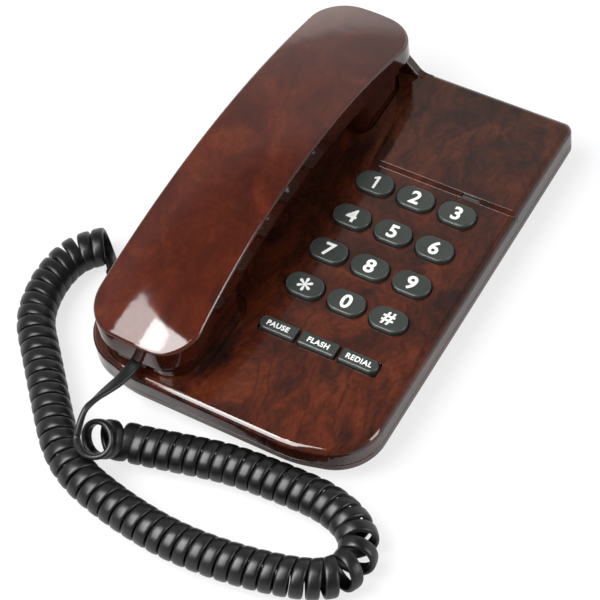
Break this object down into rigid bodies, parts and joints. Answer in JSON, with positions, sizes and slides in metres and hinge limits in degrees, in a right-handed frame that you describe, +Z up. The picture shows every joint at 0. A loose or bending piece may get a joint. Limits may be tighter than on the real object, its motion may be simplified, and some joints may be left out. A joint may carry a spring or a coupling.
{
  "type": "corded slimline telephone",
  "caption": "Slimline corded push-button telephone: low slab base with a keypad, arched handset lying along one side, curly cord between them.",
  "frame": {"origin": "middle of the footprint of base and handset, on the surface that the phone stands on", "axes": "+Z up from the table, -Y the front edge where the handset's mouth end lies, +X the keypad side"},
  "size_m": [0.2025, 0.266, 0.0591],
  "materials": {
    "burl_plastic": "gloss moulded plastic with a printed burl-wood figure",
    "key_plastic": "satin",
    "black_plastic": "matte moulded",
    "clear_plastic": "clear, glossy",
    "lens_plastic": "milky, glossy",
    "led_red": "translucent",
    "cord_plastic": "satin, flexible",
    "silicone": "matte",
    "rubber_black": "matte",
    "circuit_board": "bare laminate with solder resist",
    "steel": "zinc plated"
  },
  "bodies": {
    "base": {"top_housing": "burl_plastic", "bottom_cover": "burl_plastic", "main_board": "circuit_board", "circuit_parts": "black_plastic", "key_membrane": "silicone", "status_led": "led_red", "led_lens": "lens_plastic", "hook_switch": "black_plastic", "hook_spring": "steel", "ringer_capsule": "black_plastic", "ballast_plate": "steel", "feet": "rubber_black", "housing_screws": "steel", "board_screws": "steel", "ringer_switch": "black_plastic", "dial_mode": "black_plastic", "line_jack": "black_plastic", "base_cord_jack": "black_plastic", "base_plug": "clear_plastic", "cord_coil": "cord_plastic", "handset_cord_tail": "cord_plastic", "base_cord_tail": "cord_plastic"},
    "handset": {"handset_upper_shell": "burl_plastic", "handset_lower_shell": "burl_plastic", "receiver_capsule": "black_plastic", "receiver_gasket": "silicone", "microphone_capsule": "steel", "microphone_boot": "silicone", "handset_weight": "steel", "handset_screws": "steel", "screw_covers": "burl_plastic", "handset_jack": "black_plastic", "handset_plug": "clear_plastic"},
    "hook_plunger": {"hook_plunger": "black_plastic"},
    "ringer_switch_knob": {"ringer_switch_knob": "key_plastic"},
    "dial_mode_knob": {"dial_mode_knob": "key_plastic"},
    "key_1": {"key_1": "key_plastic"},
    "key_2": {"key_2": "key_plastic"},
    "key_3": {"key_3": "key_plastic"},
    "key_4": {"key_4": "key_plastic"},
    "key_5": {"key_5": "key_plastic"},
    "key_6": {"key_6": "key_plastic"},
    "key_7": {"key_7": "key_plastic"},
    "key_8": {"key_8": "key_plastic"},
    "key_9": {"key_9": "key_plastic"},
    "key_star": {"key_star": "key_plastic"},
    "key_0": {"key_0": "key_plastic"},
    "key_hash": {"key_hash": "key_plastic"},
    "key_pause": {"key_pause": "key_plastic"},
    "key_flash": {"key_flash": "key_plastic"},
    "key_redial": {"key_redial": "key_plastic"}
  },
  "joints": [
    {"name": "handset_lift", "type": "slide", "parent": "base", "child": "handset", "axis": [0, 0, 1], "range_m": [0, 0.045]},
    {"name": "hook_plunger_rise", "type": "slide", "parent": "base", "child": "hook_plunger", "axis": [0, 0, 1], "range_m": [0, 0.004], "deforming": ["hook_spring"]},
    {"name": "key_1_press", "type": "slide", "parent": "base", "child": "key_1", "axis": [0, 0, -1], "range_m": [0, 0.0015], "stiffness_N_per_m": 400, "springref_m": -0.001},
    {"name": "key_2_press", "type": "slide", "parent": "base", "child": "key_2", "axis": [0, 0, -1], "range_m": [0, 0.0015], "stiffness_N_per_m": 400, "springref_m": -0.001},
    {"name": "key_3_press", "type": "slide", "parent": "base", "child": "key_3", "axis": [0, 0, -1], "range_m": [0, 0.0015], "stiffness_N_per_m": 400, "springref_m": -0.001},
    {"name": "key_4_press", "type": "slide", "parent": "base", "child": "key_4", "axis": [0, 0, -1], "range_m": [0, 0.0015], "stiffness_N_per_m": 400, "springref_m": -0.001},
    {"name": "key_5_press", "type": "slide", "parent": "base", "child": "key_5", "axis": [0, 0, -1], "range_m": [0, 0.0015], "stiffness_N_per_m": 400, "springref_m": -0.001},
    {"name": "key_6_press", "type": "slide", "parent": "base", "child": "key_6", "axis": [0, 0, -1], "range_m": [0, 0.0015], "stiffness_N_per_m": 400, "springref_m": -0.001},
    {"name": "key_7_press", "type": "slide", "parent": "base", "child": "key_7", "axis": [0, 0, -1], "range_m": [0, 0.0015], "stiffness_N_per_m": 400, "springref_m": -0.001},
    {"name": "key_8_press", "type": "slide", "parent": "base", "child": "key_8", "axis": [0, 0, -1], "range_m": [0, 0.0015], "stiffness_N_per_m": 400, "springref_m": -0.001},
    {"name": "key_9_press", "type": "slide", "parent": "base", "child": "key_9", "axis": [0, 0, -1], "range_m": [0, 0.0015], "stiffness_N_per_m": 400, "springref_m": -0.001},
    {"name": "key_star_press", "type": "slide", "parent": "base", "child": "key_star", "axis": [0, 0, -1], "range_m": [0, 0.0015], "stiffness_N_per_m": 400, "springref_m": -0.001},
    {"name": "key_0_press", "type": "slide", "parent": "base", "child": "key_0", "axis": [0, 0, -1], "range_m": [0, 0.0015], "stiffness_N_per_m": 400, "springref_m": -0.001},
    {"name": "key_hash_press", "type": "slide", "parent": "base", "child": "key_hash", "axis": [0, 0, -1], "range_m": [0, 0.0015], "stiffness_N_per_m": 400, "springref_m": -0.001},
    {"name": "key_pause_press", "type": "slide", "parent": "base", "child": "key_pause", "axis": [0, 0, -1], "range_m": [0, 0.0015], "stiffness_N_per_m": 400, "springref_m": -0.001},
    {"name": "key_flash_press", "type": "slide", "parent": "base", "child": "key_flash", "axis": [0, 0, -1], "range_m": [0, 0.0015], "stiffness_N_per_m": 400, "springref_m": -0.001},
    {"name": "key_redial_press", "type": "slide", "parent": "base", "child": "key_redial", "axis": [0, 0, -1], "range_m": [0, 0.0015], "stiffness_N_per_m": 400, "springref_m": -0.001},
    {"name": "ringer_switch_slide", "type": "slide", "parent": "base", "child": "ringer_switch_knob", "axis": [1, 0, 0], "range_m": [0, 0.004]},
    {"name": "dial_mode_slide", "type": "slide", "parent": "base", "child": "dial_mode_knob", "axis": [1, 0, 0], "range_m": [0, 0.004]}
  ],
  "couplings": [
    {"joint": "hook_plunger_rise", "follows": "handset_lift", "ratio": 0.0888}
  ]
}
